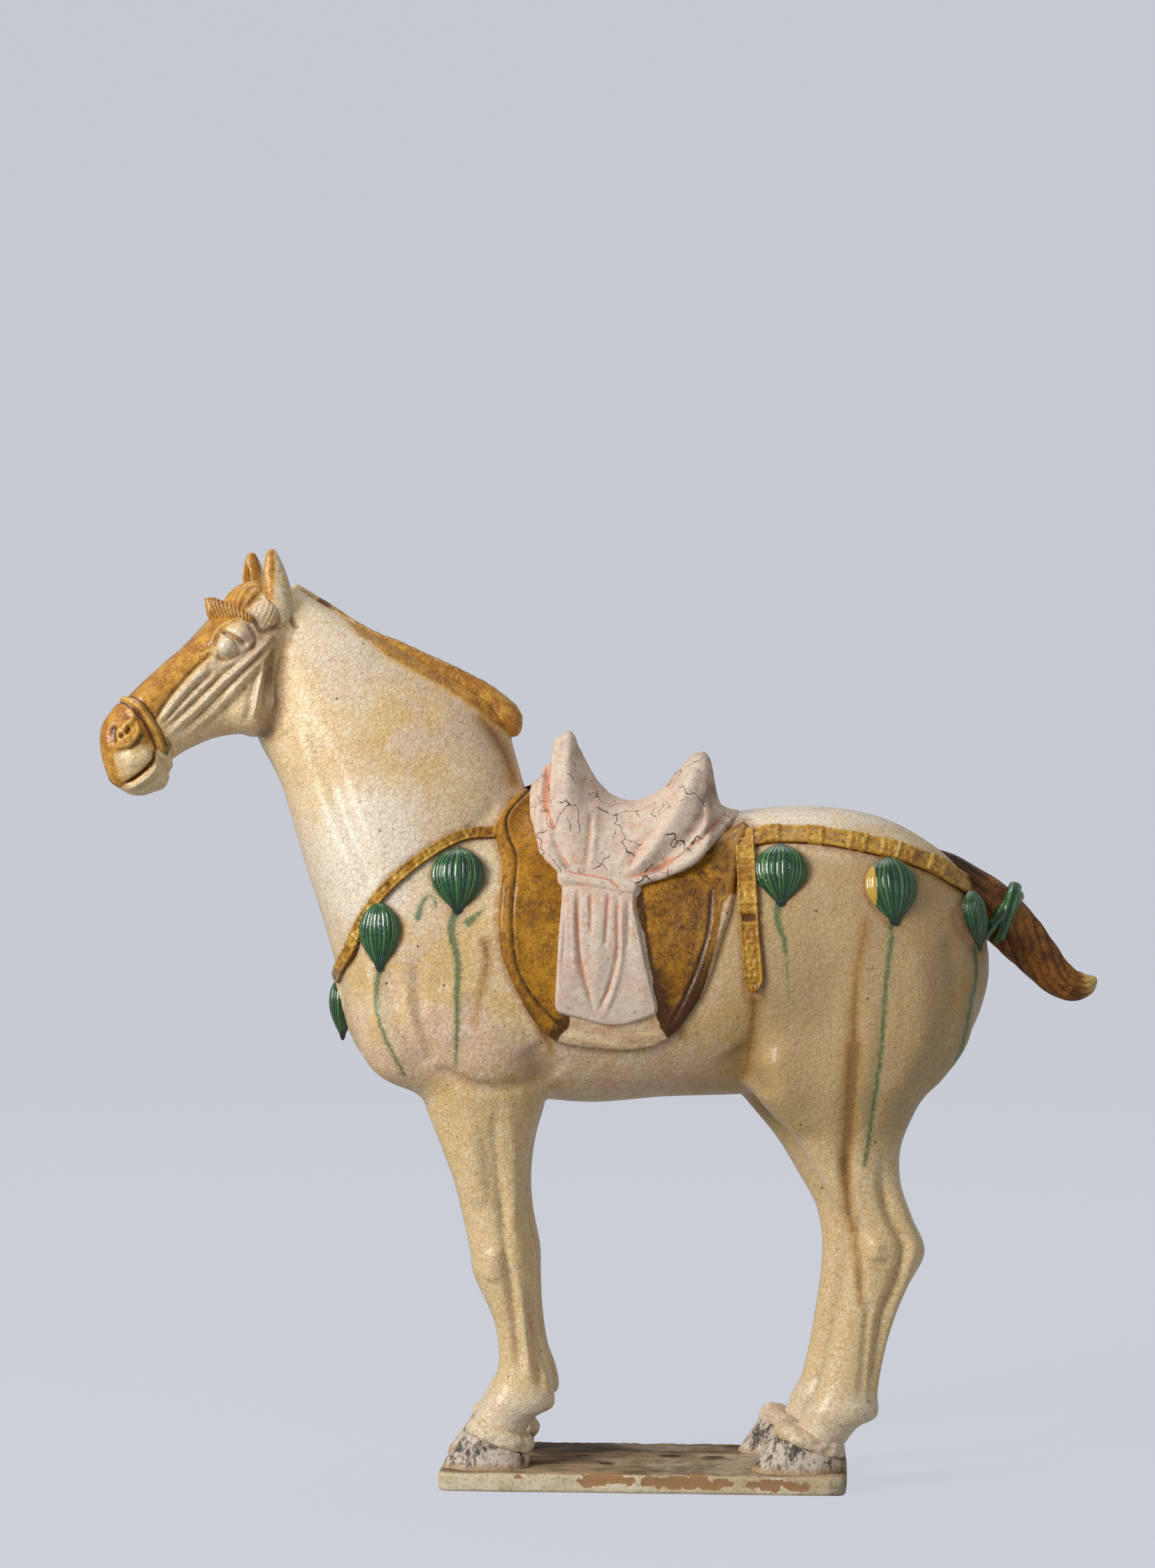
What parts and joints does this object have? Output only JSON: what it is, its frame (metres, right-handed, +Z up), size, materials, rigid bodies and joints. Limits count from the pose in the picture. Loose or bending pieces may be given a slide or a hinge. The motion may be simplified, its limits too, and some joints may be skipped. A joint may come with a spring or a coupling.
{
  "type": "pottery horse figure",
  "caption": "Standing glazed pottery horse on a slab, saddled, its head turned to its left, with straps and hanging tassels; a display piece.",
  "frame": {"origin": "centre of the slab's underside", "axes": "+Z up, the horse faces -X, its left side is -Y"},
  "size_m": [0.59, 0.1456, 0.556],
  "materials": {
    "glaze": "gloss"
  },
  "bodies": {
    "root": {"sancai_horse": "glaze"}
  },
  "joints": []
}
